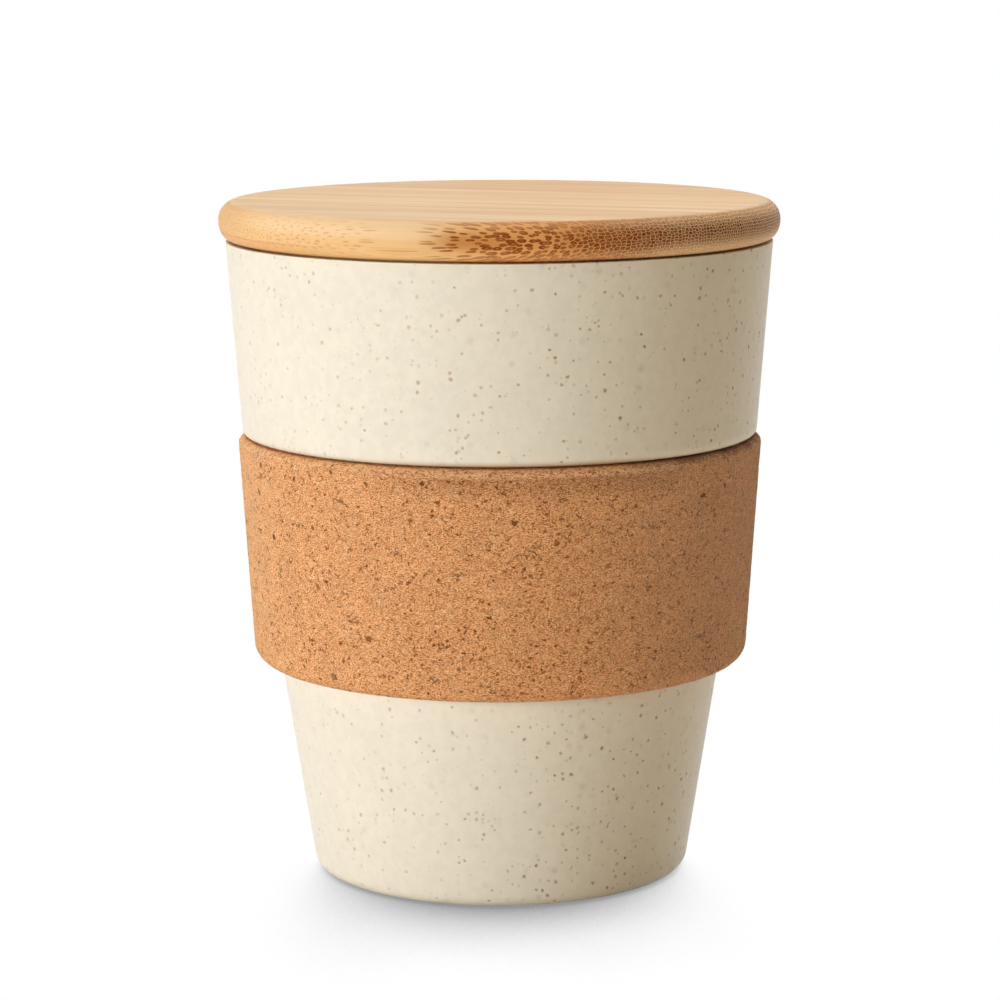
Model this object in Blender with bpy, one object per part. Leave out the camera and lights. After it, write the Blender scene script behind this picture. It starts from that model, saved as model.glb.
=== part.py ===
"""Lidded drinking cup of speckled straw plastic, with a cork sleeve and a bamboo lid.

Every piece is turned about the Z axis. Lengths are in metres, +Z is up, and the
origin is the centre of the foot ring, on the surface that the cup stands on.
The sleeve slides off downwards over the narrower foot, and the lid lifts out of
the mouth with its silicone seal.
"""

import math

import bmesh
import bpy
from mathutils import Vector

# Cup: three stacked lengths, each with its own taper on a side.
FOOT_HEIGHT = 0.0354
SLEEVE_HEIGHT = 0.0375
UPPER_HEIGHT = 0.0317
RIM_DIAMETER = 0.0897
UPPER_TAPER = math.radians(4.45)
SLEEVE_TAPER = math.radians(3.8)
FOOT_TAPER = math.radians(9.0)
WALL = 0.0024
FLOOR = 0.0030
SHOULDER_STEP = 0.0034
SHOULDER_FILLET = 0.0008
LEDGE_FILLET = 0.0018
RIM_FILLET = 0.0008
BASE_FILLET = 0.0026
FLOOR_FILLET = 0.0045
FOOT_RING_WIDTH = 0.0032
FOOT_RECESS = 0.0010

# Cork sleeve: a cone of even thickness under the cup's shoulder.
SLEEVE_THICKNESS = 0.00395
SLEEVE_CHAMFER = 0.0010
SLEEVE_LOWER_FILLET = 0.0030

# Bamboo lid: a disc with a bull-nosed edge, and a plug that fits in the mouth.
LID_OVERHANG = 0.00115
LID_THICKNESS = 0.0062
LID_NOSE = 0.0028
PLUG_CLEARANCE = 0.0008
PLUG_FILLET = 0.0008
LAND_ABOVE_SEAL = 0.0014
LAND_BELOW_SEAL = 0.0020

# Silicone seal: a band with two lips, held in a groove of the plug.
SEAL_WEB = 0.0013
SEAL_LIP_DEPTH = 0.0009
SEAL_LIP_HEIGHT = 0.0010
SEAL_LIP_SPACING = 0.0011
SEAL_LIP_FILLET = 0.0004

# Clearance between pieces that touch, and how finely the turned faces are cut.
GAP = 0.0003
SEGMENTS = 64
ARC_TOLERANCE = 0.00005

# Heights that follow from the lengths above.
SHOULDER_HEIGHT = FOOT_HEIGHT + SLEEVE_HEIGHT + GAP
CUP_HEIGHT = SHOULDER_HEIGHT + UPPER_HEIGHT
FLOOR_HEIGHT = FOOT_RECESS + FLOOR
LEDGE_HEIGHT = SHOULDER_HEIGHT + WALL
LID_SEAT = CUP_HEIGHT + GAP
SEAL_HEIGHT = 2.0 * SEAL_LIP_HEIGHT + SEAL_LIP_SPACING
GROOVE_HEIGHT = SEAL_HEIGHT + 2.0 * GAP
PLUG_DEPTH = LAND_ABOVE_SEAL + GROOVE_HEIGHT + LAND_BELOW_SEAL
SEAL_CENTRE = -LAND_ABOVE_SEAL - GROOVE_HEIGHT / 2.0

# Outer radii of the cup, from the rim down.
RIM_RADIUS = RIM_DIAMETER / 2.0
SHOULDER_RADIUS = RIM_RADIUS - UPPER_HEIGHT * math.tan(UPPER_TAPER)
RECESS_TOP_RADIUS = SHOULDER_RADIUS - SHOULDER_STEP
RECESS_FOOT_RADIUS = RECESS_TOP_RADIUS - (SLEEVE_HEIGHT + GAP) * math.tan(SLEEVE_TAPER)
BASE_RADIUS = RECESS_FOOT_RADIUS - FOOT_HEIGHT * math.tan(FOOT_TAPER)


def upper_radius(height):
    """Outer radius of the cup above the shoulder."""
    return RIM_RADIUS - (CUP_HEIGHT - height) * math.tan(UPPER_TAPER)


def recess_radius(height):
    """Outer radius of the cup behind the sleeve."""
    return RECESS_FOOT_RADIUS + (height - FOOT_HEIGHT) * math.tan(SLEEVE_TAPER)


def foot_radius(height):
    """Outer radius of the cup below the sleeve."""
    return BASE_RADIUS + height * math.tan(FOOT_TAPER)


def bore_radius(height):
    """Inner radius of the mouth, which the plug and its seal fit."""
    return upper_radius(height) - WALL


# Radii of the lid, its plug and the seal, from the bore that they fit.
LID_RADIUS = RIM_RADIUS + LID_OVERHANG
PLUG_RADIUS = bore_radius(LID_SEAT - PLUG_DEPTH) - PLUG_CLEARANCE
SEAL_RADIUS = bore_radius(LID_SEAT + SEAL_CENTRE - SEAL_HEIGHT / 2.0) - GAP
SEAL_WEB_RADIUS = SEAL_RADIUS - SEAL_LIP_DEPTH
SEAL_BORE_RADIUS = SEAL_WEB_RADIUS - SEAL_WEB
GROOVE_RADIUS = SEAL_BORE_RADIUS - GAP


def arc(centre_r, centre_z, width, height, start, end):
    """Points on an elliptical arc of the section, from one angle to the other."""
    chord = 2.0 * math.acos(max(0.0, 1.0 - ARC_TOLERANCE / max(width, height)))
    steps = max(1, math.ceil(abs(end - start) / chord))
    points = []
    for index in range(steps + 1):
        angle = start + (end - start) * index / steps
        points.append((centre_r + width * math.cos(angle), centre_z + height * math.sin(angle)))
    return points


def fillet(before, corner, after, radius):
    """Points that round a corner of the section, limited by its two sides."""
    at = Vector(corner)
    to_before = Vector(before) - at
    to_after = Vector(after) - at
    half = to_before.angle(to_after) / 2.0
    room = 0.48 * min(to_before.length, to_after.length)
    trim = min(radius / math.tan(half), room)
    radius = trim * math.tan(half)
    middle = (to_before.normalized() + to_after.normalized()).normalized()
    centre = at + middle * (radius / math.sin(half))
    first = at + to_before.normalized() * trim - centre
    last = at + to_after.normalized() * trim - centre
    start = math.atan2(first.y, first.x)
    turn = math.atan2(first.cross(last), first.dot(last))
    return arc(centre.x, centre.y, radius, radius, start, start + turn)


def section(corners):
    """Outline through (radius, height, fillet) corners, with the fillets drawn."""
    points = []
    count = len(corners)
    for index, (r, z, radius) in enumerate(corners):
        if radius > 0.0:
            before = corners[index - 1][:2]
            after = corners[(index + 1) % count][:2]
            points.extend(fillet(before, (r, z), after, radius))
        else:
            points.append((r, z))
    return points


def material(name, colour, roughness):
    """Plain material of one piece."""
    result = bpy.data.materials.new(name)
    result.use_nodes = True
    shader = result.node_tree.nodes["Principled BSDF"]
    shader.inputs["Base Color"].default_value = (*colour, 1.0)
    shader.inputs["Roughness"].default_value = roughness
    shader.inputs["Metallic"].default_value = 0.0
    return result


def turned(name, points, ring, look, height, parent=None):
    """Turn an outline about Z into a solid that stands at a height on its parent."""
    shape = bmesh.new()
    corners = [shape.verts.new((r, 0.0, z)) for r, z in points]
    edges = [shape.edges.new(pair) for pair in zip(corners, corners[1:])]
    if ring:
        edges.append(shape.edges.new((corners[-1], corners[0])))
    bmesh.ops.spin(
        shape, geom=corners + edges, cent=(0.0, 0.0, 0.0), axis=(0.0, 0.0, 1.0),
        angle=2.0 * math.pi, steps=SEGMENTS, use_merge=True,
    )
    bmesh.ops.remove_doubles(shape, verts=shape.verts, dist=1e-7)
    bmesh.ops.recalc_face_normals(shape, faces=shape.faces)
    mesh = bpy.data.meshes.new(name)
    shape.to_mesh(mesh)
    shape.free()
    mesh.materials.append(look)
    mesh.shade_smooth()
    mesh.set_sharp_from_angle(angle=math.radians(35.0))
    piece = bpy.data.objects.new(name, mesh)
    bpy.context.collection.objects.link(piece)
    piece.parent = parent
    piece.location = (0.0, 0.0, height)
    return piece


def cup_section():
    """Cup from the middle of its floor, over the rim, to the middle of its underside."""
    ring_inner = BASE_RADIUS - BASE_FILLET - FOOT_RING_WIDTH
    return section([
        (0.0, FLOOR_HEIGHT, 0.0),
        (foot_radius(FLOOR_HEIGHT) - WALL, FLOOR_HEIGHT, FLOOR_FILLET),
        (RECESS_FOOT_RADIUS - WALL, FOOT_HEIGHT, 0.0),
        (recess_radius(LEDGE_HEIGHT) - WALL, LEDGE_HEIGHT, LEDGE_FILLET),
        (bore_radius(LEDGE_HEIGHT), LEDGE_HEIGHT, LEDGE_FILLET),
        (bore_radius(CUP_HEIGHT), CUP_HEIGHT, RIM_FILLET),
        (RIM_RADIUS, CUP_HEIGHT, RIM_FILLET),
        (SHOULDER_RADIUS, SHOULDER_HEIGHT, SHOULDER_FILLET),
        (RECESS_TOP_RADIUS, SHOULDER_HEIGHT, 0.0),
        (RECESS_FOOT_RADIUS, FOOT_HEIGHT, 0.0),
        (BASE_RADIUS, 0.0, BASE_FILLET),
        (ring_inner, 0.0, 0.0),
        (ring_inner - FOOT_RECESS, FOOT_RECESS, 0.0),
        (0.0, FOOT_RECESS, 0.0),
    ])


def sleeve_section():
    """Sleeve with its lower edge at zero height."""
    lower = RECESS_FOOT_RADIUS + GAP
    upper = lower + SLEEVE_HEIGHT * math.tan(SLEEVE_TAPER)
    chamfer = min(SLEEVE_CHAMFER, 0.5 * SLEEVE_THICKNESS)
    side = upper + SLEEVE_THICKNESS - chamfer * math.tan(SLEEVE_TAPER)
    return section([
        (upper, SLEEVE_HEIGHT, 0.0),
        (upper + SLEEVE_THICKNESS - chamfer, SLEEVE_HEIGHT, 0.0),
        (side, SLEEVE_HEIGHT - chamfer, 0.0),
        (lower + SLEEVE_THICKNESS, 0.0, min(SLEEVE_LOWER_FILLET, 0.9 * SLEEVE_THICKNESS)),
        (lower, 0.0, 0.0),
    ])


def lid_section():
    """Lid with the underside of its disc at zero height."""
    half = LID_THICKNESS / 2.0
    centre = LID_RADIUS - LID_NOSE
    nose = arc(centre, half, LID_NOSE, half, math.pi / 2.0, 0.0)
    nose += arc(centre, half, LID_NOSE, half, 0.0, -math.pi / 2.0)[1:]
    groove_top = -LAND_ABOVE_SEAL
    groove_foot = groove_top - GROOVE_HEIGHT
    plug = section([
        (PLUG_RADIUS, 0.0, 0.0),
        (PLUG_RADIUS, groove_top, 0.0),
        (GROOVE_RADIUS, groove_top, 0.0),
        (GROOVE_RADIUS, groove_foot, 0.0),
        (PLUG_RADIUS, groove_foot, 0.0),
        (PLUG_RADIUS, -PLUG_DEPTH, PLUG_FILLET),
        (0.0, -PLUG_DEPTH, 0.0),
    ])
    return [(0.0, LID_THICKNESS)] + nose + plug


def seal_section():
    """Seal with its middle at zero height."""
    top = SEAL_HEIGHT / 2.0
    lip = SEAL_LIP_SPACING / 2.0
    return section([
        (SEAL_BORE_RADIUS, top, 0.0),
        (SEAL_RADIUS, top, SEAL_LIP_FILLET),
        (SEAL_RADIUS, lip, SEAL_LIP_FILLET),
        (SEAL_WEB_RADIUS, lip, 0.0),
        (SEAL_WEB_RADIUS, -lip, 0.0),
        (SEAL_RADIUS, -lip, SEAL_LIP_FILLET),
        (SEAL_RADIUS, -top, SEAL_LIP_FILLET),
        (SEAL_BORE_RADIUS, -top, 0.0),
    ])


def main():
    """Clear the scene and build the four pieces."""
    for old in list(bpy.data.objects):
        bpy.data.objects.remove(old, do_unlink=True)
    straw = material("straw_plastic", (0.78, 0.69, 0.53), 0.42)
    cork = material("agglomerated_cork", (0.45, 0.24, 0.105), 0.88)
    bamboo = material("bamboo", (0.63, 0.37, 0.17), 0.52)
    silicone = material("silicone", (0.82, 0.82, 0.80), 0.45)
    turned("cup_body", cup_section(), False, straw, 0.0)
    turned("cork_sleeve", sleeve_section(), True, cork, FOOT_HEIGHT)
    lid = turned("bamboo_lid", lid_section(), False, bamboo, LID_SEAT)
    turned("lid_seal", seal_section(), True, silicone, SEAL_CENTRE, lid)
    bpy.context.view_layer.update()


main()
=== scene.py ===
"""Finish of a lidded cup: speckled straw plastic, a cork sleeve, a bamboo lid and its seal."""

import math
import random

import bmesh
import bpy
from bpy.props import FloatProperty, FloatVectorProperty, IntProperty, PointerProperty
from mathutils import Matrix, Quaternion, Vector, kdtree, noise


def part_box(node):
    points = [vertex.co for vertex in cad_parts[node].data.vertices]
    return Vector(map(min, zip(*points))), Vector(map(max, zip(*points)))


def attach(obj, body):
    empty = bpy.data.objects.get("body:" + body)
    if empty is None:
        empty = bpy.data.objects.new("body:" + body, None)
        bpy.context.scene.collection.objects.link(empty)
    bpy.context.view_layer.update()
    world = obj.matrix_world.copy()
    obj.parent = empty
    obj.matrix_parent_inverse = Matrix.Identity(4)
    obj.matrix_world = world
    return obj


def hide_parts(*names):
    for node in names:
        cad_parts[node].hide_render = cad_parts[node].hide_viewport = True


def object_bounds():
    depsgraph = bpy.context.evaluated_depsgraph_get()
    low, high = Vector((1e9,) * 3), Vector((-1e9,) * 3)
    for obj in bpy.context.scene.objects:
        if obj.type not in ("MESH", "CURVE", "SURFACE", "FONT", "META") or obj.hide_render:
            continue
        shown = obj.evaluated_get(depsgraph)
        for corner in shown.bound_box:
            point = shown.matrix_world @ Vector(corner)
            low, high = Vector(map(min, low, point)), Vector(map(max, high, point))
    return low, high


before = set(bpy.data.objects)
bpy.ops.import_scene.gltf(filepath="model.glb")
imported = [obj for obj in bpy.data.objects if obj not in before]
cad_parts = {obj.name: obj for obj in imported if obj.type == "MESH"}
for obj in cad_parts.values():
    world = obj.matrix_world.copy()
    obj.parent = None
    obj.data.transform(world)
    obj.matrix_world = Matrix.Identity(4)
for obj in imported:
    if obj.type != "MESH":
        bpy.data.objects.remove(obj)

CAD_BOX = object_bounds()
CUP_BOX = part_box("cup_body")
SLEEVE_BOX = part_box("cork_sleeve")
LID_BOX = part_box("bamboo_lid")
SEAL_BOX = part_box("lid_seal")

bl_info = {
    "name": "Lidded straw cup",
    "version": (1, 0, 0),
    "blender": (4, 5, 0),
    "location": "3D View > Sidebar > Cup",
    "description": "Builds the cup, its cork sleeve, bamboo lid and seal, and a studio round them",
    "category": "Object",
}

MM = 1000.0  # millimetres in a metre: the materials work in millimetres, all else in metres

# Mesh of the turned pieces.
ARC_STEP = 0.0002  # longest run of a rounded corner
ARC_LEAST = 4  # fewest runs of a rounded corner
NOSE_SEGMENTS = 16  # runs of each half of the lid's edge
NOSE_GAP = 0.00001  # what is left between the two halves
SIDE_STEP = 0.003  # longest run of a straight side
CORK_STEP = 0.00037  # longest run of the cork, whose granules are geometry
CUP_SEGMENTS, CORK_SEGMENTS, LID_SEGMENTS, SEAL_SEGMENTS = 256, 704, 288, 192
SECTOR_SEGMENTS = 48  # most segments that are spun before the sector is copied round
MERGE_GAP = 1e-6
SHARP_ANGLE = math.radians(40.0)

# Roundings of edges that no setting gives, as how far back they begin.
FLOOR_SETBACK, KNEE_SETBACK, LEDGE_SETBACK = 0.0042, 0.002, 0.0014  # inside the cup
MOUTH_SETBACK, RIM_SETBACK, RING_SETBACK = 0.0008, 0.00015, 0.0003  # at its rim and foot ring
CORK_SETBACK, CORNER_SETBACK = 0.0003, 0.0002  # the sleeve's edges and its chamfer's corner
SEAT_SETBACK, GROOVE_SETBACK = 0.0003, 0.0002  # under the lid
WEB_SETBACK, LIP_SETBACK = 0.0002, 0.0004  # the seal's web and its lips

SLIDE_GAP = 0.0003  # between the sleeve's bore and the cup
BORE_MARGIN = 0.0002  # how far outside the bore the cork's fine mesh begins
SKIN = 0.0006  # how far outside the bore the cork's granules begin

# Pits and granules of the cork.
PRESS_SEED = 7
PIT_WIDTH, PIT_SPREAD, PIT_RARITY = 0.00020, 0.00045, 6  # least, what is added, how rarely
PIT_SHALLOW = 0.35  # share of the full depth that the shallowest pit has
JOINT_SHARPNESS = 3.5
SWELL_WIDTH, SWELL_SHARE = 3.0, 0.5  # in granules, and as a share of the joints' depth

# Tones that belong to one detail of a material, some of them painted light or shade, as linear
# colours.
SHADED_EDGE_STRAW = (0.477, 0.279, 0.110)
STRAND_BROWN = (0.40, 0.100, 0.007)
FLAKE_BROWN = (0.30, 0.066, 0.005)
LIT_CHAMFER_CORK = (1.0, 0.50, 0.21)
SHEEN_GREY_CORK = (0.72, 0.56, 0.52)
SHEEN_BAMBOO = (1.0, 0.62, 0.32)
SHADED_BAMBOO = (0.58, 0.31, 0.115)
HAIR_BROWN = (0.52, 0.25, 0.09)
LOWER_PLY = (0.70, 0.34, 0.125)
HIGHLIGHT_GOLD = (0.92, 0.66, 0.40)
SCORCH_BROWN = (0.50, 0.185, 0.035)
FACE_TAN = (0.88, 0.58, 0.305)
FACE_PALE = (1.0, 0.72, 0.425)
FACE_STREAK = (0.66, 0.38, 0.17)
FACE_BAND = (0.74, 0.43, 0.20)

# Specks of the straw plastic: cells per millimetre, the chance above which a cell has a speck,
# the widest speck in cells, the softness of its edge, and its faintest and strongest dye.
SPECK_LAYERS = (
    (0.46, 0.25, 0.42, 0.40, 0.05, 0.20),
    (0.80, 0.42, 0.37, 0.24, 0.12, 0.65),
    (1.05, 0.65, 0.37, 0.20, 0.15, 0.65),
)
SHOULDER_RADII = (40.4, 41.0)  # between the inner and the outer wall at the shoulder

# Flakes of the cork, small and large: cells per millimetre, the share of cells that are a
# flake, and their faintest and strongest dye.
SMALL_FLAKES = (2.30, 0.035, 0.30, 0.95)
LARGE_FLAKES = (1.25, 0.006, 0.55, 0.95)

GLUE_HEIGHT = 1.65  # of the glue line over the lid's seat
SHEATH_SOFTNESS = 0.09  # of a fibre bundle's edge, in cells
BUNDLE_SCATTER = 0.65

# Studio.
FLOOR_SIZE, FLOOR_GAP = 4.0, 0.0001
FLOOR_COLOUR = (0.90, 0.87, 0.80)
SHADOW_LEAN = math.radians(-60.0)  # how far the contact shadow leans to the front
SHADOW_REACH, SHADOW_SAMPLES = 0.08, 16
SHADOW_POWER, SHADOW_GAIN = 1.4, 2.0
WHITE = (1.0, 1.0, 1.0)
COOL = (0.72, 0.82, 1.0)
ROOM = (1.0, 0.84, 0.55)
LOW_SKY, HIGH_SKY, HIGH_SKY_AT = 1.35, 0.20, 0.8  # shares of the ambient light, and where
LAMP_AIM = Vector((0.0, 0.0, 0.055))
SENSOR_WIDTH = 36.0
CLIP_START, CLIP_END = 0.01, 50.0

# Name, place, size, tint, the setting with the power, and whether glossy faces mirror the lamp.
LAMPS = (
    ("key_light", (-0.79, -0.68, 0.20), (0.75, 0.38), COOL, "key_power", False),
    ("back_light", (0.0, 2.0, 0.26), (0.30, 0.40), COOL, "back_power", False),
    ("top_light", (0.0, 0.20, 0.95), (0.70, 0.70), WHITE, "top_power", True),
)


def length(label, text, value):
    """Property for a length in metres."""
    return FloatProperty(
        name=label, description=text, default=value, min=0.0, precision=5, unit="LENGTH",
    )


def angle(label, text, value):
    """Property for an angle that is given in degrees."""
    return FloatProperty(
        name=label, description=text, default=math.radians(value), subtype="ANGLE",
    )


def colour(label, text, value):
    """Property for a linear colour."""
    return FloatVectorProperty(
        name=label, description=text, default=value, size=3, min=0.0, max=1.0, subtype="COLOR",
    )


def power(label, text, value):
    """Property for the power of a light in watts."""
    return FloatProperty(name=label, description=text, default=value, unit="POWER")


class CupSizes(bpy.types.PropertyGroup):
    """Sizes and colours of the moulded cup."""

    rim_height: length("Rim height", "Height of the rim", CUP_BOX[1][2])
    rim_radius: length("Rim radius", "Outer radius at the rim", 0.04485)
    upper_taper: angle("Upper taper", "Taper of a side above the shoulder", 4.45)
    shoulder_height: length("Shoulder height", "Underside of the step over the sleeve", 0.0732)
    shoulder_step: length("Shoulder step", "How far the wall steps in under it", 0.0034)
    shoulder_setback: length("Shoulder rounding", "How far back its edge is rounded", 0.00074)
    sleeve_taper: angle("Sleeve taper", "Taper of a side behind the sleeve", 3.8)
    foot_height: length("Foot height", "Height where its taper begins", SLEEVE_BOX[0][2])
    foot_taper: angle("Foot taper", "Taper of a side below the sleeve", 9.0)
    base_setback: length("Base rounding", "How far back the lower edge is rounded", 0.0022)
    wall: length("Wall", "Thickness of the wall", 0.0024)
    floor: length("Floor", "Thickness of the floor", 0.0030)
    foot_ring: length("Foot ring", "Width of the ring that the cup stands on", 0.0032)
    foot_recess: length("Foot recess", "Depth of the hollow inside the foot ring", 0.0010)
    straw_colour: colour("Straw plastic", "Cream of the plastic", (0.795, 0.68, 0.50))
    speck_colour: colour("Straw specks", "Grey-brown of most specks", (0.27, 0.152, 0.056))
    husk_colour: colour("Husk specks", "Red-brown of some specks", (0.40, 0.165, 0.060))


class SleeveSizes(bpy.types.PropertyGroup):
    """Sizes and colours of the cork sleeve."""

    thickness: length("Thickness", "Thickness of the cork", 0.00395)
    chamfer: length("Chamfer", "Chamfer of the upper edge", 0.0010)
    lower_setback: length("Lower rounding", "How far back the lower edge is rounded", 0.0028)
    grain: length("Grain", "Width of a granule", 0.00062)
    grain_depth: length("Grain depth", "How deep the joints between granules are", 0.00007)
    pit_count: IntProperty(
        name="Pits", description="Number of torn-out granules", default=420, min=0,
    )
    pit_depth: length("Pit depth", "Depth of the deepest pits", 0.00035)
    cork_colour: colour("Cork", "Middle tone of the granules", (0.93, 0.445, 0.176))
    bark_and_shade_colour: colour("Bark specks", "Dark bark in the cork", (0.16, 0.032, 0.004))
    pale_colour: colour("Pale flecks", "Palest granules", (1.0, 0.62, 0.32))


class LidSizes(bpy.types.PropertyGroup):
    """Sizes and colours of the bamboo lid."""

    radius: length("Radius", "Outer radius of the lid", LID_BOX[1][0])
    thickness: length("Thickness", "Thickness of the disc", 0.0062)
    nose: length("Upper nose", "How far in the edge is rounded above", 0.0028)
    lower_nose: length("Lower nose", "How far in the edge is rounded below", 0.0021)
    plug_radius: length("Plug radius", "Outer radius of the plug", 0.04110)
    groove_radius: length("Groove radius", "Radius at the bottom of the groove", 0.03929)
    land_above: length("Upper land", "Plug above the groove", 0.0014)
    groove_height: length("Groove", "Height of the groove", 0.0037)
    plug_setback: length("Plug rounding", "How far back its lower edge is rounded", 0.0008)
    grain_turn: angle("Grain turn", "How far the grain is turned from the X axis", -20.0)
    bundle: length("Bundle spacing", "Spacing of the fibre bundles", 0.00061)
    bamboo_colour: colour("Bamboo", "Golden wood at one end", (0.785, 0.452, 0.178))
    honey_colour: colour("Honey bamboo", "Browner wood in the middle", (0.82, 0.37, 0.115))
    fibre_colour: colour("Fibres", "Dark sheath round a fibre bundle", (0.25, 0.047, 0.003))


class SealSizes(bpy.types.PropertyGroup):
    """Sizes and colour of the silicone seal."""

    web: length("Web", "Thickness between the lips", 0.0013)
    lip_depth: length("Lip depth", "How far a lip stands out", 0.0009)
    lip_height: length("Lip height", "Height of a lip", 0.0010)
    silicone_colour: colour("Silicone", "Milky silicone", (0.80, 0.80, 0.77))


class StageSettings(bpy.types.PropertyGroup):
    """Camera and light of the studio."""

    camera_distance: length("Camera distance", "Distance from the cup's axis", 0.5948)
    camera_height: length("Camera height", "Height of the camera", 0.1573)
    aim_height: length("Aim height", "Height that the camera looks at", 0.0614)
    lens: FloatProperty(
        name="Lens", description="Focal length in millimetres", default=130.6, min=1.0,
    )
    roll: angle("Roll", "Turn of the camera about its line of sight", 0.15)
    key_power: power("Key light", "Power of the soft key light", 11.5)
    top_power: power("Top light", "Power of the light over the lid", 5.0)
    back_power: power("Back light", "Power of the light behind the cup", 26.0)
    ambient: FloatProperty(
        name="Ambient", description="Strength of the light all round", default=0.37, min=0.0,
    )


def scaled(tone, factor):
    """Colour that is lighter or darker by a factor."""
    return tuple(min(1.0, factor * value) for value in tone)


class Nodes:
    """A node tree and the few kinds of node that the materials and the sky are made from."""

    def __init__(self, tree):
        self.tree = tree

    def put(self, socket, value):
        """Link a node's output to a socket, or set the socket to a plain value."""
        if isinstance(value, bpy.types.NodeSocket):
            self.tree.links.new(value, socket)
        elif isinstance(value, (int, float)):
            socket.default_value = value
        else:
            values = tuple(value)
            size = len(socket.default_value)
            socket.default_value = (values + (1.0,))[:size] if size > len(values) else values

    def node(self, kind, inputs=(), **settings):
        """New node with its settings and its inputs, which are given by name or number."""
        made = self.tree.nodes.new(kind)
        for key, value in settings.items():
            setattr(made, key, value)
        for key, value in dict(inputs).items():
            self.put(made.inputs[key], value)
        return made

    def maths(self, operation, first, second=0.0, clamp=False):
        """Result of a sum on one or two values."""
        made = self.node(
            "ShaderNodeMath", {0: first, 1: second}, operation=operation, use_clamp=clamp,
        )
        return made.outputs[0]

    def product(self, *values):
        """Values multiplied together."""
        total = values[0]
        for value in values[1:]:
            total = self.maths("MULTIPLY", total, value)
        return total

    def distance(self, first, second):
        """How far apart two values are."""
        return self.maths("ABSOLUTE", self.maths("SUBTRACT", first, second))

    def vectors(self, operation, first, second):
        """Result of a sum on two vectors, or on a vector and its scale."""
        inputs = {0: first, "Scale" if operation == "SCALE" else 1: second}
        return self.node("ShaderNodeVectorMath", inputs, operation=operation).outputs[0]

    def ramp(self, value, low, high, start=0.0, end=1.0):
        """Value that runs smoothly from start to end between low and high."""
        inputs = {
            "Value": value, "From Min": low, "From Max": high, "To Min": start, "To Max": end,
        }
        made = self.node("ShaderNodeMapRange", inputs, interpolation_type="SMOOTHSTEP")
        return made.outputs["Result"]

    def span(self, value, rise, fall):
        """Value that goes up to 1 along a rise and back to 0 along a fall."""
        return self.product(self.ramp(value, *rise), self.ramp(value, *fall, 1.0, 0.0))

    def mix(self, factor, first, second):
        """Colour between two colours."""
        made = self.node("ShaderNodeMix", data_type="RGBA", blend_type="MIX")
        self.put(made.inputs[0], factor)
        self.put(made.inputs[6], first)
        self.put(made.inputs[7], second)
        return made.outputs[2]

    def axes(self, place):
        """The three coordinates of a position."""
        return self.node("ShaderNodeSeparateXYZ", {0: place}).outputs

    def channels(self, tone):
        """The three channels of a colour."""
        return self.node("ShaderNodeSeparateColor", {0: tone}).outputs


class Finish(Nodes):
    """A material and the textures that its finish is made from."""

    def __init__(self, name):
        self.material = bpy.data.materials.new(name)
        self.material.use_nodes = True
        super().__init__(self.material.node_tree)
        self.shader = self.tree.nodes["Principled BSDF"]

    def millimetres(self, turned=(0.0, 0.0, 0.0), stretch=(1.0, 1.0, 1.0)):
        """Position on the piece in millimetres, turned and then stretched."""
        place = self.node("ShaderNodeTexCoord").outputs["Object"]
        place = self.node("ShaderNodeMapping", {"Vector": place, "Rotation": turned}).outputs[0]
        scale = tuple(MM * value for value in stretch)
        return self.node("ShaderNodeMapping", {"Vector": place, "Scale": scale}).outputs[0]

    def noise(self, place, scale, detail=2.0, rough=0.5, twist=0.0):
        """Clouds of a scale, each cloud broken up by some detail."""
        inputs = {
            "Vector": place, "Scale": scale, "Detail": detail, "Roughness": rough,
            "Distortion": twist,
        }
        return self.node("ShaderNodeTexNoise", inputs)

    def cloud(self, *settings):
        """Cloudy value between 0 and 1."""
        return self.noise(*settings).outputs["Fac"]

    def cells(self, place, scale, scatter=1.0, dimensions="3D", feature="F1"):
        """Cells with a point in each."""
        inputs = {"Vector": place, "Scale": scale, "Randomness": scatter}
        return self.node(
            "ShaderNodeTexVoronoi", inputs, voronoi_dimensions=dimensions, feature=feature,
        )

    def drift(self, place, scale, amount, detail=2.0, lookup=None):
        """Position that is pushed about by up to an amount, by a cloud there or elsewhere."""
        cloud = self.noise(lookup or place, scale, detail).outputs["Color"]
        centred = self.vectors("SUBTRACT", cloud, (0.5, 0.5, 0.5))
        return self.vectors("ADD", place, self.vectors("SCALE", centred, 2.0 * amount))

    def dots(self, cells, radius, softness):
        """Soft dot round each cell's point, of the radius given in cells."""
        inside = self.maths("SUBTRACT", radius, cells.outputs["Distance"])
        return self.maths("DIVIDE", inside, softness, clamp=True)

    def bump(self, height, depth):
        """Relief of the surface, of a depth in metres."""
        made = self.node("ShaderNodeBump", {"Strength": 1.0, "Distance": depth, "Height": height})
        self.put(self.shader.inputs["Normal"], made.outputs[0])


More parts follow.
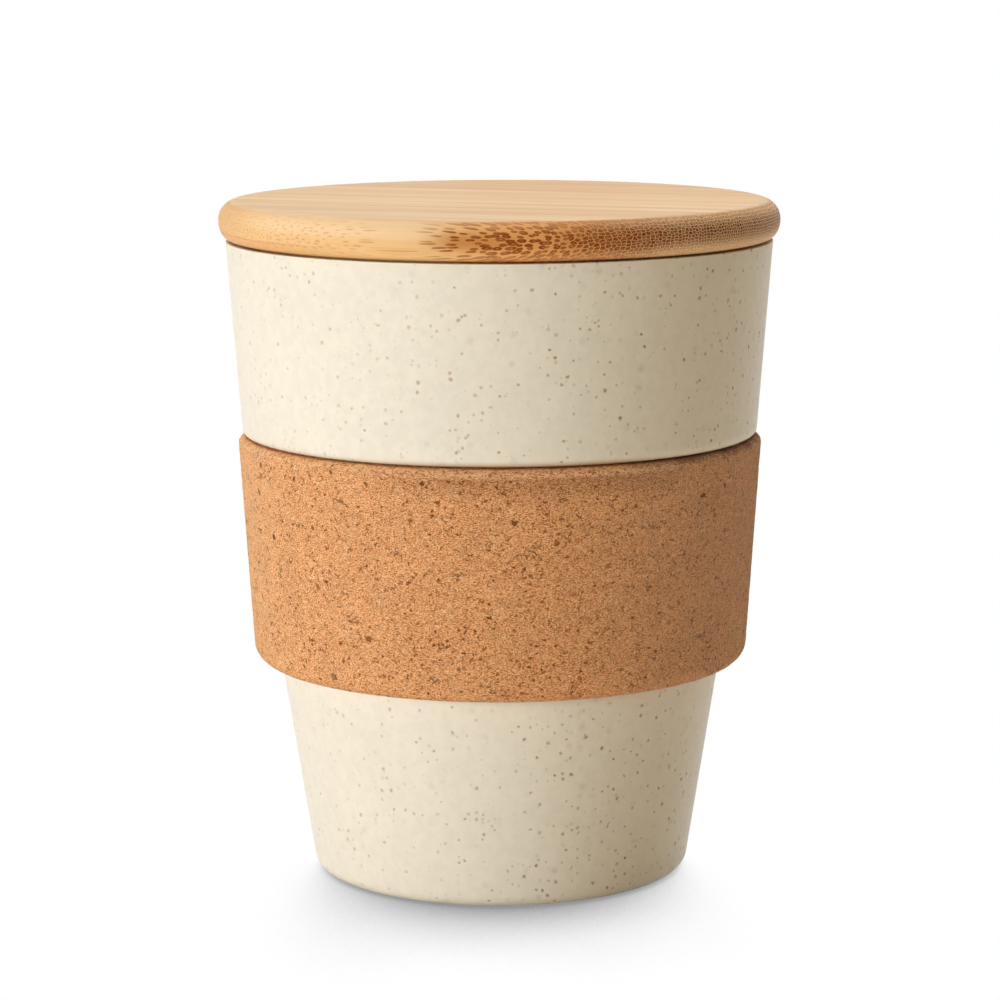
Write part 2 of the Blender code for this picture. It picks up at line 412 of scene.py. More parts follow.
def straw_plastic(sizes):
    """Satin cream plastic with straw specks at the surface and buried under it, and painted light
    and shade on its specks and at the shoulder's edge.
    """
    finish = Finish("speckled_straw_plastic")
    straw = sizes.straw_colour
    place = finish.millimetres()
    side, depth, height = finish.axes(place)

    # Plain plastic, a little cloudy and mottled.
    cloud = finish.cloud(place, 0.09, 3.0)
    tone = finish.mix(finish.ramp(cloud, 0.3, 0.7), scaled(straw, 0.975), straw)
    mottle = finish.cloud(place, 0.55, 2.0, 0.6)
    tone = finish.mix(finish.ramp(mottle, 0.36, 0.64, 0.10, 0.0), tone, scaled(straw, 0.6))

    # Specks, whose strength is painted light and shade: fainter at the lit left and stronger at
    # the shaded right.
    uneven = finish.drift(place, 1.5, 0.25, 3.0)
    crowd = finish.ramp(finish.cloud(place, 0.13, 2.0), 0.35, 0.65, -0.05, 0.05)
    plain = finish.ramp(side, -30.0, 20.0, 0.74, 1.50)
    for scale, least, widest, softness, faint, strong in SPECK_LAYERS:
        specks = finish.cells(uneven, scale)
        chance = finish.channels(specks.outputs["Color"])
        lucky = finish.maths("ADD", chance[0], crowd)
        dot = finish.dots(specks, finish.ramp(lucky, least, 1.0, 0.0, widest), softness)
        strength = finish.product(finish.ramp(chance[1], 0.0, 1.0, faint, strong), plain)
        husk = finish.ramp(chance[2], 0.35, 0.75)
        dye = finish.mix(husk, sizes.speck_colour, sizes.husk_colour)
        tone = finish.mix(finish.maths("MULTIPLY", dot, strength, clamp=True), tone, dye)

    # Outer edge of the shoulder, where it rounds under: a painted highlight at the right, and
    # painted shade across the middle, fainter at the left.
    shoulder = MM * sizes.shoulder_height
    squares = finish.maths("ADD", finish.product(side, side), finish.product(depth, depth))
    reach = finish.maths("SQRT", squares)
    outside = finish.product(
        finish.ramp(height, shoulder - 0.3, shoulder - 0.1), finish.ramp(reach, *SHOULDER_RADII),
    )
    lit = finish.product(
        finish.ramp(height, shoulder + 0.3, shoulder + 2.0, 0.70, 0.0), outside,
        finish.ramp(side, 14.0, 30.0),
    )
    tone = finish.mix(lit, tone, scaled(straw, 1.2))
    rolled = finish.product(
        finish.ramp(height, shoulder - 0.05, shoulder + 1.15, 0.85, 0.0), outside,
        finish.ramp(side, -22.0, -4.0, 0.45, 1.0), finish.ramp(side, 16.0, 30.0, 1.0, 0.0),
    )
    tone = finish.mix(rolled, tone, SHADED_EDGE_STRAW)

    finish.put(finish.shader.inputs["Base Color"], tone)
    haze = finish.cloud(place, 0.9, 3.0)
    finish.put(finish.shader.inputs["Roughness"], finish.ramp(haze, 0.3, 0.7, 0.34, 0.41))
    finish.shader.inputs["Specular IOR Level"].default_value = 0.30
    finish.bump(finish.cloud(place, 2.6, 2.0), 0.000010)
    return finish.material


def pressed_cork(sizes):
    """Fine cork granules with bark specks, torn-out pits and pale flecks, and painted light and
    shade on the chamfer, at the two sides and in the pits.
    """
    finish = Finish("pressed_cork")
    # The bark colour is also the colour of the painted shade on the chamfer, below it and in the
    # pits.
    cork, bark_and_shade, pale = sizes.cork_colour, sizes.bark_and_shade_colour, sizes.pale_colour
    place = finish.millimetres()
    flat = finish.millimetres(stretch=(1.0, 1.0, 1.8))
    side, _, height = finish.axes(place)

    # Granules, and the dark and pale strands in them.
    patch = finish.cloud(place, 0.17, 3.0, 0.6)
    tone = finish.mix(finish.ramp(patch, 0.35, 0.65), scaled(cork, 0.88), cork)
    granules = finish.cells(finish.drift(flat, 1.3, 0.35, 3.0), 0.7 / (MM * sizes.grain))
    chance = finish.channels(granules.outputs["Color"])
    tone = finish.mix(finish.ramp(chance[0], 0.0, 0.5, 0.35, 0.0), tone, scaled(cork, 0.55))
    tone = finish.mix(finish.ramp(chance[1], 0.94, 1.0, 0.0, 0.7), tone, pale)
    strands = finish.cloud(flat, 3.5, 4.0, 0.75, 0.4)
    tone = finish.mix(finish.ramp(strands, 0.385, 0.525, 1.0, 0.0), tone, STRAND_BROWN)
    tone = finish.mix(finish.ramp(strands, 0.51, 0.615, 0.0, 0.78), tone, pale)

    # Bark, as a few thin lines and as flakes.
    waves = finish.cloud(flat, 0.95, 1.0, 0.5)
    sparse = finish.cloud(place, 0.70, 1.0)
    marks = finish.product(
        finish.ramp(finish.distance(waves, 0.5), 0.010, 0.035, 0.75, 0.0),
        finish.ramp(sparse, 0.61, 0.67),
    )
    tone = finish.mix(marks, tone, bark_and_shade)
    ragged = finish.drift(finish.millimetres(stretch=(1.0, 1.0, 1.25)), 1.9, 0.34, 4.0)
    for (scale, share, faint, strong), dye in ((SMALL_FLAKES, FLAKE_BROWN), (LARGE_FLAKES, bark_and_shade)):
        chance = finish.channels(finish.cells(ragged, scale).outputs["Color"])
        flake = finish.product(
            finish.ramp(chance[0], 0.999 - share, 1.001 - share),
            finish.ramp(chance[1], 0.0, 1.0, faint, strong),
        )
        tone = finish.mix(flake, tone, dye)
        marks = finish.maths("MAXIMUM", marks, flake)

    # Painted shade on the chamfer under the shoulder, ragged, faint at the left and dark at the
    # right.
    top = MM * SLEEVE_BOX[1][2]
    corner = top - MM * sizes.chamfer
    rough = finish.maths("ADD", height, finish.ramp(patch, 0.35, 0.65, -0.35, 0.35))
    rough = finish.maths("ADD", rough, finish.ramp(strands, 0.35, 0.65, 0.6, -0.6))
    torn = finish.product(
        finish.ramp(rough, corner - 0.05, top), finish.ramp(side, 8.0, 34.0, 0.12, 0.92),
    )
    chamfer = finish.ramp(height, corner - 0.15, corner + 0.10)
    tone = finish.mix(finish.product(chamfer, torn), tone, bark_and_shade)

    # Painted shade below the chamfer across the middle, painted light on the chamfer from the left
    # to the middle, a painted highlight along its corner, and dark flecks below the corner.
    frays = finish.cloud(flat, 1.7, 3.0, 0.65)
    crisp = finish.ramp(frays, 0.42, 0.55, 0.10, 1.0)
    ragged_corner_height = finish.maths("ADD", height, finish.ramp(frays, 0.35, 0.65, 0.35, -0.35))
    under = finish.product(
        finish.span(height, (corner - 5.0, corner - 1.2), (corner - 0.6, corner - 0.2)),
        finish.ramp(side, -22.0, -8.0), finish.ramp(side, 20.0, 34.0, 1.0, 0.0),
        finish.ramp(strands, 0.42, 0.56, 0.40, 0.20),
    )
    tone = finish.mix(under, tone, bark_and_shade)
    # Painted light on the chamfer, from the left to the middle.
    lit_chamfer = finish.product(
        finish.ramp(height, corner - 0.10, corner + 0.15),
        finish.ramp(side, -18.0, 2.0, 0.90, 0.70), finish.ramp(side, 14.0, 30.0, 1.0, 0.0), crisp,
    )
    tone = finish.mix(lit_chamfer, tone, LIT_CHAMFER_CORK)
    # Painted highlight along the chamfer's corner, faint at the left, strongest from the middle to
    # the right and weaker again at the far right.
    corner_highlight = finish.product(
        finish.span(ragged_corner_height, (corner - 0.40, corner - 0.05), (corner, corner + 0.35)),
        finish.ramp(side, -12.0, 8.0, 0.35, 0.90), finish.ramp(side, 24.0, 34.0, 1.0, 0.28), crisp,
    )
    tone = finish.mix(corner_highlight, tone, pale)
    # Dark flecks below the corner, fewest at the right.
    dark_flecks = finish.product(
        finish.ramp(frays, 0.36, 0.45, 0.80, 0.0),
        finish.ramp(height, corner - 1.6, corner - 0.3),
        finish.ramp(side, -26.0, -6.0, 0.30, 0.75), finish.ramp(side, 18.0, 32.0, 1.0, 0.2),
    )
    tone = finish.mix(dark_flecks, tone, FLAKE_BROWN)

    # Painted light at the left edge of the sleeve and a painted greyish sheen towards its right,
    # and painted shade in its pits.
    tone = finish.mix(finish.ramp(side, -44.0, -32.0, 0.20, 0.0), tone, pale)
    tone = finish.mix(finish.ramp(side, 10.0, 44.0, 0.0, 0.20), tone, SHEEN_GREY_CORK)
    pit = finish.node("ShaderNodeAttribute", attribute_name="pit").outputs["Fac"]
    tone = finish.mix(finish.ramp(pit, 0.15, 0.85, 0.0, 0.8), tone, bark_and_shade)

    finish.put(finish.shader.inputs["Base Color"], tone)
    finish.put(finish.shader.inputs["Roughness"], finish.ramp(strands, 0.3, 0.7, 0.95, 0.80))
    finish.shader.inputs["Specular IOR Level"].default_value = 0.08
    finish.shader.inputs["Diffuse Roughness"].default_value = 0.3
    finish.bump(finish.maths("SUBTRACT", strands, marks), 0.00021)
    return finish.material


def bamboo(sizes):
    """Bamboo board whose fibre bundles show as dots on end and as streaks along the grain, with
    painted light and shade along its edge.
    """
    finish = Finish("bamboo_board")
    grain = (0.0, 0.0, -sizes.grain_turn)
    side, _, height = finish.axes(finish.millimetres())
    across = finish.axes(finish.millimetres(grain))[1]
    top = MM * LID_BOX[1][2]
    seat = top - MM * sizes.thickness
    face = finish.ramp(height, top - 0.22, top - 0.03)

    # Wood of the edge from left to right: painted shade at the far left, golden, browner honey in
    # the middle, and a painted pale sheen towards the right, with fine hairs.
    tone = finish.mix(finish.ramp(side, 8.0, 28.0, 0.0, 0.9), sizes.bamboo_colour, SHEEN_BAMBOO)
    tone = finish.mix(finish.ramp(side, -46.0, -38.0, 0.35, 0.0), tone, SHADED_BAMBOO)
    tone = finish.mix(finish.span(side, (-12.0, 4.0), (8.0, 28.0)), tone, sizes.honey_colour)
    hairs = finish.cloud(finish.millimetres(grain, (0.02, 3.0, 3.0)), 1.0, 3.0)
    tone = finish.mix(finish.ramp(hairs, 0.35, 0.75, 0.0, 0.28), tone, HAIR_BROWN)

    # Lower ply and its glue line at the left, and a painted highlight on the upper crest of the
    # edge at the left.
    glue = seat + GLUE_HEIGHT
    golden = finish.ramp(side, -36.0, -20.0, 1.0, 0.0)
    lower = finish.product(finish.ramp(height, glue - 0.25, glue + 0.15, 0.70, 0.0), golden)
    tone = finish.mix(lower, tone, LOWER_PLY)
    crest_highlight = finish.product(
        finish.ramp(height, seat + 2.4, seat + 4.4), finish.ramp(side, -44.0, -34.0),
        finish.ramp(side, -14.0, -4.0, 0.42, 0.0),
    )
    tone = finish.mix(crest_highlight, tone, HIGHLIGHT_GOLD)
    line = finish.ramp(finish.distance(height, glue), 0.05, 0.25, 0.16, 0.0)
    tone = finish.mix(finish.product(line, golden), tone, sizes.fibre_colour)

    # Fibre bundles as a section across the grain, which wanders along it.
    closer = finish.product(
        finish.maths("SUBTRACT", height, top), finish.ramp(side, 6.0, 28.0, 1.0, 1.30),
    )
    ends = finish.node("ShaderNodeCombineXYZ", {"X": across, "Y": closer}).outputs[0]
    ends = finish.drift(ends, 1.0, 0.28, 2.0, finish.millimetres(grain, (0.05, 0.30, 0.30)))
    ends = finish.drift(ends, 3.2, 0.07, 2.0)
    density = 1.0 / (MM * sizes.bundle)
    bundles = finish.cells(ends, density, BUNDLE_SCATTER, "2D")
    borders = finish.cells(ends, density, BUNDLE_SCATTER, "2D", "DISTANCE_TO_EDGE")
    chance = finish.channels(bundles.outputs["Color"])
    radius = finish.product(
        finish.ramp(side, -16.0, 4.0, 0.14, 0.37), finish.ramp(chance[2], 0.0, 1.0, 0.70, 1.25),
    )
    radius = finish.maths("ADD", radius, SHEATH_SOFTNESS)
    sheath = finish.dots(bundles, radius, SHEATH_SOFTNESS)
    hollow = finish.product(
        finish.ramp(side, -10.0, 2.0), finish.ramp(side, 14.0, 28.0, 1.0, 0.3),
    )
    core = finish.product(
        finish.ramp(bundles.outputs["Distance"], 0.06, 0.20, 0.62, 0.0),
        finish.product(chance[1], hollow),
    )

    # At the right the bundles lie so close that only a net is left between them.
    wider = finish.ramp(side, 20.0, 36.0, -0.02, 0.03)
    net = finish.maths("SUBTRACT", borders.outputs["Distance"], wider)
    net = finish.ramp(net, 0.05, 0.16)
    dense = finish.ramp(side, 6.0, 18.0)
    loose = finish.maths("SUBTRACT", 1.0, dense)
    sheath = finish.maths("ADD", finish.product(net, dense), finish.product(sheath, loose))
    bundle = finish.maths("SUBTRACT", sheath, core)

    # Brown streak a little left of the middle, and the bundles' dye, with painted light and shade
    # in it: faded at the lit left end, strongest at the middle of the edge's height, and a deeper
    # brown at the shaded right.
    middle = finish.distance(height, (top + seat) / 2.0)
    scorch = finish.product(
        finish.ramp(side, -13.0, -6.0), finish.ramp(side, -4.0, 6.0, 1.0, 0.45),
        finish.ramp(middle, 0.2, 2.4, 0.85, 0.0),
    )
    tone = finish.mix(scorch, tone, SCORCH_BROWN)
    beyond_lit_end = finish.ramp(side, -16.0, -4.0)
    dash = finish.cloud(finish.millimetres(grain, (0.30, 1.3, 1.3)), 1.0, 1.0)
    shelter = finish.maths("ADD", height, finish.ramp(side, 16.0, 30.0, 3.4, 0.0))
    strength = finish.product(
        finish.ramp(beyond_lit_end, 0.0, 1.0, 0.30, 1.0), finish.ramp(middle, 0.8, 2.8, 1.0, 0.50),
        finish.ramp(dash, 0.36, 0.54, 0.80, 1.0), finish.ramp(face, 0.0, 1.0, 1.0, 0.06),
        finish.ramp(shelter, seat + 0.5, seat + 3.8, 0.45, 1.0),
    )
    shaded_fibre_colour = scaled(sizes.fibre_colour, 0.5)
    fibre = finish.mix(finish.ramp(side, 18.0, 34.0), sizes.fibre_colour, shaded_fibre_colour)
    tone = finish.mix(finish.product(bundle, strength), tone, fibre)

    # Flat top, where the fibres run along the face.
    strip = finish.ramp(across, 17.6, 18.2, 1.0, 0.0)
    board = finish.mix(strip, FACE_TAN, FACE_PALE)
    streaks = finish.cloud(finish.millimetres(grain, (0.010, 0.35, 0.35)), 1.0, 5.0, 0.7)
    board = finish.mix(finish.ramp(streaks, 0.38, 0.66, 0.0, 0.62), board, FACE_STREAK)
    bands = finish.cloud(finish.millimetres(grain, (0.004, 0.10, 0.10)), 1.0, 1.0)
    board = finish.mix(finish.ramp(bands, 0.40, 0.60, 0.0, 0.30), board, FACE_BAND)
    tone = finish.mix(finish.product(face, 0.85), tone, board)

    finish.put(finish.shader.inputs["Base Color"], tone)
    finish.put(finish.shader.inputs["Roughness"], finish.ramp(hairs, 0.3, 0.7, 0.42, 0.54))
    finish.shader.inputs["Specular IOR Level"].default_value = 0.14
    finish.bump(finish.maths("SUBTRACT", hairs, bundle), 0.00002)
    return finish.material


def silicone(sizes):
    """Milky silicone with a faint bloom."""
    finish = Finish("milky_silicone")
    milky = sizes.silicone_colour
    bloom = finish.cloud(finish.millimetres(), 0.8, 3.0)
    tone = finish.mix(finish.ramp(bloom, 0.3, 0.7), scaled(milky, 0.9), milky)
    finish.put(finish.shader.inputs["Base Color"], tone)
    finish.put(finish.shader.inputs["Roughness"], finish.ramp(bloom, 0.3, 0.7, 0.40, 0.55))
    finish.shader.inputs["Subsurface Weight"].default_value = 0.2
    finish.shader.inputs["Subsurface Radius"].default_value = (0.002, 0.002, 0.002)
    return finish.material


def bevel(shape, points, setback, segments):
    """Round a section's corners with an arc."""
    bmesh.ops.bevel(
        shape, geom=points, offset=setback, offset_type="OFFSET", affect="VERTICES",
        segments=segments, profile=0.5, material=-1,
    )


def outline(corners, ring=False):
    """Wire section in the XZ plane through rounded corners of a radius, height and setback."""
    shape = bmesh.new()
    points = [shape.verts.new((radius, 0.0, height)) for radius, height, _ in corners]
    for first, second in zip(points, points[1:]):
        shape.edges.new((first, second))
    if ring:
        shape.edges.new((points[-1], points[0]))
    for point, (_, _, setback) in zip(points, corners):
        if setback > 0.0:
            bevel(shape, [point], setback, max(ARC_LEAST, math.ceil(setback / ARC_STEP)))
    return shape


def refine(shape, step, inner=0.0):
    """Cut the section's long edges outside a radius into runs of about a step."""
    for edge in list(shape.edges):
        cuts = int(edge.calc_length() / step)
        middle = (edge.verts[0].co.x + edge.verts[1].co.x) / 2.0
        if cuts and middle > inner:
            bmesh.ops.subdivide_edges(shape, edges=[edge], cuts=cuts)


def turn(shape, segments):
    """Turn a wire section about Z into a closed shell with its faces out."""
    doublings = 0
    while segments > SECTOR_SEGMENTS and segments % 2 == 0:
        segments //= 2
        doublings += 1
    sector = 2.0 * math.pi / 2 ** doublings
    centre = (0.0, 0.0, 0.0)
    bmesh.ops.spin(
        shape, geom=shape.verts[:] + shape.edges[:], cent=centre, axis=(0.0, 0.0, 1.0),
        angle=sector, steps=segments,
    )
    for doubling in range(doublings):
        everything = shape.verts[:] + shape.edges[:] + shape.faces[:]
        copy = bmesh.ops.duplicate(shape, geom=everything)["geom"]
        verts = [part for part in copy if isinstance(part, bmesh.types.BMVert)]
        onward = Matrix.Rotation(sector * 2 ** doubling, 3, "Z")
        bmesh.ops.rotate(shape, verts=verts, cent=centre, matrix=onward)
    bmesh.ops.remove_doubles(shape, verts=shape.verts, dist=MERGE_GAP)
    bmesh.ops.recalc_face_normals(shape, faces=shape.faces)


def finished(name, shape, material, node, body):
    """Piece that stands for a node of the frame and rides its body."""
    mesh = bpy.data.meshes.new(name)
    shape.to_mesh(mesh)
    shape.free()
    mesh.materials.append(material)
    mesh.shade_smooth()
    mesh.set_sharp_from_angle(angle=SHARP_ANGLE)
    piece = bpy.data.objects.new(name, mesh)
    bpy.context.scene.collection.objects.link(piece)
    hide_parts(node)
    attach(piece, body)


def cup_radii(cup):
    """Outer radii of the cup at the shoulder, under it, where the foot begins and at the base."""
    upper = cup.rim_height - cup.shoulder_height
    shoulder = cup.rim_radius - upper * math.tan(cup.upper_taper)
    recess = shoulder - cup.shoulder_step
    foot = recess - (cup.shoulder_height - cup.foot_height) * math.tan(cup.sleeve_taper)
    base = foot - cup.foot_height * math.tan(cup.foot_taper)
    return shoulder, recess, foot, base


class CUP_OT_body(bpy.types.Operator):
    """Mould the cup in speckled straw plastic"""

    bl_idname = "cup.body"
    bl_label = "Cup body"

    def execute(self, context):
        cup = context.scene.cup_sizes
        shoulder, recess, foot, base = cup_radii(cup)
        floor = cup.foot_recess + cup.floor
        ledge = cup.shoulder_height + cup.wall
        mouth = cup.rim_radius - cup.wall
        above = mouth - (cup.rim_height - ledge) * math.tan(cup.upper_taper)
        below = recess - cup.wall + cup.wall * math.tan(cup.sleeve_taper)
        ring = base - cup.base_setback - cup.foot_ring
        shape = outline([
            (0.0, floor, 0.0),
            (base + floor * math.tan(cup.foot_taper) - cup.wall, floor, FLOOR_SETBACK),
            (foot - cup.wall, cup.foot_height, KNEE_SETBACK),
            (below, ledge, LEDGE_SETBACK),
            (above, ledge, LEDGE_SETBACK),
            (mouth, cup.rim_height, MOUTH_SETBACK),
            (cup.rim_radius, cup.rim_height, RIM_SETBACK),
            (shoulder, cup.shoulder_height, cup.shoulder_setback),
            (recess, cup.shoulder_height, 0.0),
            (foot, cup.foot_height, 0.0),
            (base, 0.0, cup.base_setback),
            (ring, 0.0, RING_SETBACK),
            (ring - cup.foot_recess, cup.foot_recess, RING_SETBACK),
            (0.0, cup.foot_recess, 0.0),
        ])
        refine(shape, SIDE_STEP)
        turn(shape, CUP_SEGMENTS)
        finished("cup_shell", shape, straw_plastic(cup), "cup_body", "cup")
        return {"FINISHED"}


class CUP_OT_sleeve(bpy.types.Operator):
    """Press the cork sleeve, with its granules and torn-out pits"""

    bl_idname = "cup.sleeve"
    bl_label = "Cork sleeve"

    def execute(self, context):
        cup = context.scene.cup_sizes
        sleeve = context.scene.sleeve_sizes
        low, high = SLEEVE_BOX[0][2], SLEEVE_BOX[1][2]
        slope = math.tan(cup.sleeve_taper)
        lower = cup_radii(cup)[2] + SLIDE_GAP
        upper = lower + (high - low) * slope
        side = upper + sleeve.thickness - sleeve.chamfer * slope
        shape = outline([
            (upper, high, CORK_SETBACK),
            (upper + sleeve.thickness - sleeve.chamfer, high, CORK_SETBACK),
            (side, high - sleeve.chamfer, CORNER_SETBACK),
            (lower + sleeve.thickness, low, sleeve.lower_setback),
            (lower, low, CORK_SETBACK),
        ], ring=True)
        refine(shape, CORK_STEP, inner=upper + BORE_MARGIN)
        turn(shape, CORK_SEGMENTS)
        self.press(shape, sleeve, lower, low, slope)
        finished("cork_wrap", shape, pressed_cork(sleeve), "cork_sleeve", "sleeve")
        return {"FINISHED"}

    def press(self, shape, sleeve, lower, low, slope):
        """Sink the joints between granules and the pits into the outer faces."""
        chance = random.Random(PRESS_SEED)
        layer = shape.verts.layers.float.new("pit")
        outer = [
            vert for vert in shape.verts
            if math.hypot(vert.co.x, vert.co.y) > lower + (vert.co.z - low) * slope + SKIN
        ]
        tree = kdtree.KDTree(sleeve.pit_count)
        pits = []
        for index in range(sleeve.pit_count):
            vert = chance.choice(outer)
            width = PIT_WIDTH + PIT_SPREAD * chance.random() ** PIT_RARITY
            pits.append((width, PIT_SHALLOW + (1.0 - PIT_SHALLOW) * chance.random()))
            tree.insert(vert.co, index)
        tree.balance()
        shape.normal_update()
        moves = []
        for vert in outer:
            spans = noise.voronoi(vert.co / sleeve.grain)[0]
            joint = max(0.0, 1.0 - JOINT_SHARPNESS * (spans[1] - spans[0]))
            swell = noise.noise(vert.co / (SWELL_WIDTH * sleeve.grain))
            sink = sleeve.grain_depth * (joint - SWELL_SHARE * swell)
            _, index, gap = tree.find(vert.co)
            width, share = pits[index]
            pit = max(0.0, 1.0 - gap / width)
            # Share of the pit's depth, which the cork's material darkens as painted shade.
            vert[layer] = pit * share
            moves.append((vert, vert.normal * -(sink + sleeve.pit_depth * share * pit)))
        for vert, move in moves:
            vert.co += move


class CUP_OT_lid(bpy.types.Operator):
    """Turn the bamboo lid, with its plug and the seal's groove"""

    bl_idname = "cup.lid"
    bl_label = "Bamboo lid"

    def execute(self, context):
        lid = context.scene.lid_sizes
        top = LID_BOX[1][2]
        seat = top - lid.thickness
        foot = LID_BOX[0][2]
        groove = seat - lid.land_above
        half = lid.thickness / 2.0
        shape = outline([
            (0.0, top, 0.0),
            (lid.radius, top, 0.0),
            (lid.radius, seat, 0.0),
            (lid.plug_radius, seat, SEAT_SETBACK),
            (lid.plug_radius, groove, GROOVE_SETBACK),
            (lid.groove_radius, groove, 0.0),
            (lid.groove_radius, groove - lid.groove_height, 0.0),
            (lid.plug_radius, groove - lid.groove_height, GROOVE_SETBACK),
            (lid.plug_radius, foot, lid.plug_setback),
            (0.0, foot, 0.0),
        ])
        edge = [vert for vert in shape.verts if vert.co.x > lid.radius - MERGE_GAP]
        bevel(shape, edge, half - NOSE_GAP, NOSE_SEGMENTS)
        for vert in shape.verts:
            reach = vert.co.x - (lid.radius - half)
            if reach > 0.0:
                nose = lid.nose if vert.co.z > top - half else lid.lower_nose
                vert.co.x = lid.radius - nose + reach * nose / half
        refine(shape, SIDE_STEP)
        turn(shape, LID_SEGMENTS)
        finished("lid_board", shape, bamboo(lid), "bamboo_lid", "lid")
        return {"FINISHED"}


class CUP_OT_seal(bpy.types.Operator):
    """Mould the two-lipped silicone seal"""

    bl_idname = "cup.seal"
    bl_label = "Lid seal"

    def execute(self, context):
        seal = context.scene.seal_sizes
        low, high = SEAL_BOX[0][2], SEAL_BOX[1][2]
        outer = SEAL_BOX[1][0]
        web = outer - seal.lip_depth
        bore = web - seal.web
        shape = outline([
            (bore, high, WEB_SETBACK),
            (outer, high, LIP_SETBACK),
            (outer, high - seal.lip_height, LIP_SETBACK),
            (web, high - seal.lip_height, WEB_SETBACK),
            (web, low + seal.lip_height, WEB_SETBACK),
            (outer, low + seal.lip_height, LIP_SETBACK),
            (outer, low, LIP_SETBACK),
            (bore, low, WEB_SETBACK),
        ], ring=True)
        turn(shape, SEAL_SEGMENTS)
        finished("seal_ring", shape, silicone(seal), "lid_seal", "lid")
        return {"FINISHED"}


def seen_directly(nodes):
    """Value that is 1 for rays from the camera and from mirrors or glass."""
    path = nodes.node("ShaderNodeLightPath").outputs
    seen = nodes.maths("MAXIMUM", path["Is Camera Ray"], path["Is Glossy Ray"])
    return nodes.maths("MAXIMUM", seen, path["Is Transmission Ray"])


def white_floor():
    """Floor that looks white and darkens close to what stands on it."""
    material = bpy.data.materials.new("studio_floor")
    material.use_nodes = True
    material.node_tree.nodes.clear()
    nodes = Nodes(material.node_tree)
    matte = nodes.node("ShaderNodeBsdfDiffuse", {"Color": FLOOR_COLOUR})
    surface = nodes.node("ShaderNodeNewGeometry")
    leaning = nodes.node(
        "ShaderNodeVectorRotate", {"Vector": surface.outputs["Normal"], "Angle": SHADOW_LEAN},
        rotation_type="X_AXIS",
    )
    near = nodes.node(
        "ShaderNodeAmbientOcclusion", {"Normal": leaning.outputs[0], "Distance": SHADOW_REACH},
        samples=SHADOW_SAMPLES,
    )
    open_share = nodes.maths("POWER", near.outputs["AO"], SHADOW_POWER)
    shade = nodes.maths("MULTIPLY", open_share, SHADOW_GAIN, clamp=True)
    glow = nodes.node("ShaderNodeEmission", {"Strength": shade})
    blend = nodes.node(
        "ShaderNodeMixShader", {0: seen_directly(nodes), 1: matte.outputs[0], 2: glow.outputs[0]},
    )
    nodes.node("ShaderNodeOutputMaterial", {"Surface": blend.outputs[0]})
    return material


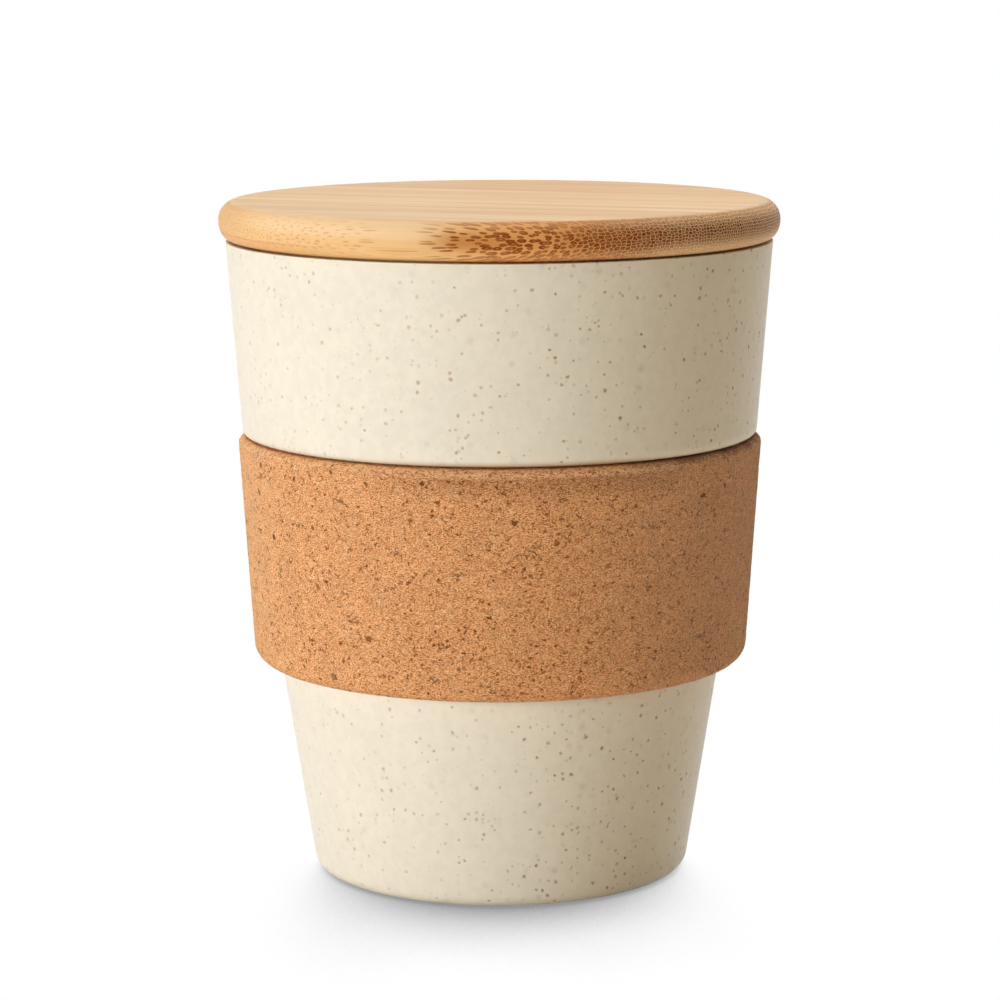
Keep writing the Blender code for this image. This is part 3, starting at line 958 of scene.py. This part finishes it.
class CUP_OT_stage(bpy.types.Operator):
    """Set the floor, the soft light and the camera"""

    bl_idname = "cup.stage"
    bl_label = "Studio"

    def execute(self, context):
        scene = context.scene
        stage = scene.stage_settings
        self.floor(scene)
        self.light(scene, stage)
        self.camera(scene, stage)
        scene.view_settings.view_transform = "Standard"
        return {"FINISHED"}

    def floor(self, scene):
        """Wide pale floor just under the foot ring."""
        shape = bmesh.new()
        bmesh.ops.create_grid(shape, x_segments=1, y_segments=1, size=FLOOR_SIZE)
        under = (0.0, 0.0, CAD_BOX[0][2] - FLOOR_GAP)
        bmesh.ops.translate(shape, verts=shape.verts, vec=under)
        mesh = bpy.data.meshes.new("studio_floor")
        shape.to_mesh(mesh)
        shape.free()
        mesh.materials.append(white_floor())
        sheet = bpy.data.objects.new("studio_floor", mesh)
        scene.collection.objects.link(sheet)

    def light(self, scene, stage):
        """Warm light all round that looks white, a soft key, and lamps behind and above."""
        world = bpy.data.worlds.new("studio")
        scene.world = world
        world.use_nodes = True
        nodes = Nodes(world.node_tree)
        direct = seen_directly(nodes)
        toward = nodes.node("ShaderNodeTexCoord").outputs["Generated"]
        around = nodes.node("ShaderNodeMapRange", {
            "Value": nodes.axes(toward)[2], "From Max": HIGH_SKY_AT,
            "To Min": LOW_SKY * stage.ambient, "To Max": HIGH_SKY * stage.ambient,
        })
        strength = nodes.node("ShaderNodeMapRange", {
            "Value": direct, "To Min": around.outputs["Result"], "To Max": 1.0,
        })
        sky = world.node_tree.nodes["Background"]
        nodes.put(sky.inputs["Color"], nodes.mix(direct, ROOM, WHITE))
        nodes.put(sky.inputs["Strength"], strength.outputs["Result"])
        for name, place, size, tint, setting, mirrored in LAMPS:
            self.lamp(scene, name, place, size, tint, getattr(stage, setting), mirrored)

    def lamp(self, scene, name, place, size, tint, watts, mirrored):
        """Soft light that faces the cup."""
        data = bpy.data.lights.new(name, "AREA")
        data.shape = "RECTANGLE"
        data.size, data.size_y = size
        data.energy = watts
        data.color = tint
        lamp = bpy.data.objects.new(name, data)
        lamp.location = place
        lamp.visible_glossy = mirrored
        aim = LAMP_AIM - Vector(place)
        lamp.rotation_euler = aim.to_track_quat("-Z", "Y").to_euler()
        scene.collection.objects.link(lamp)

    def camera(self, scene, stage):
        """Camera a little above the cup, as in the photograph."""
        data = bpy.data.cameras.new("studio_camera")
        data.lens = stage.lens
        data.sensor_width = SENSOR_WIDTH
        data.clip_start = CLIP_START
        data.clip_end = CLIP_END
        camera = bpy.data.objects.new("studio_camera", data)
        camera.location = (0.0, -stage.camera_distance, stage.camera_height)
        aim = Vector((0.0, 0.0, stage.aim_height)) - camera.location
        rolled = Quaternion((0.0, 0.0, 1.0), -stage.roll)
        camera.rotation_euler = (aim.to_track_quat("-Z", "Y") @ rolled).to_euler()
        scene.collection.objects.link(camera)
        scene.camera = camera


class CUP_PT_panel(bpy.types.Panel):
    """Sidebar panel with the pieces and their sizes"""

    bl_label = "Lidded straw cup"
    bl_idname = "CUP_PT_panel"
    bl_space_type = "VIEW_3D"
    bl_region_type = "UI"
    bl_category = "Cup"

    def draw(self, context):
        for operator, name, group in STEPS:
            box = self.layout.box()
            box.operator(operator.bl_idname)
            for setting in group.__annotations__:
                box.prop(getattr(context.scene, name), setting)


# Operators, with the name and the kind of the settings that each one reads.
STEPS = (
    (CUP_OT_body, "cup_sizes", CupSizes),
    (CUP_OT_sleeve, "sleeve_sizes", SleeveSizes),
    (CUP_OT_lid, "lid_sizes", LidSizes),
    (CUP_OT_seal, "seal_sizes", SealSizes),
    (CUP_OT_stage, "stage_settings", StageSettings),
)


def register():
    """Register the property groups, the operators and the panel."""
    for operator, name, group in STEPS:
        bpy.utils.register_class(group)
        setattr(bpy.types.Scene, name, PointerProperty(type=group))
        bpy.utils.register_class(operator)
    bpy.utils.register_class(CUP_PT_panel)


def unregister():
    """Undo what register did."""
    bpy.utils.unregister_class(CUP_PT_panel)
    for operator, name, group in reversed(STEPS):
        bpy.utils.unregister_class(operator)
        delattr(bpy.types.Scene, name)
        bpy.utils.unregister_class(group)


def main():
    """Build every piece and the studio."""
    register()
    bpy.ops.cup.body()
    bpy.ops.cup.sleeve()
    bpy.ops.cup.lid()
    bpy.ops.cup.seal()
    bpy.ops.cup.stage()


if __name__ == "__main__":
    main()
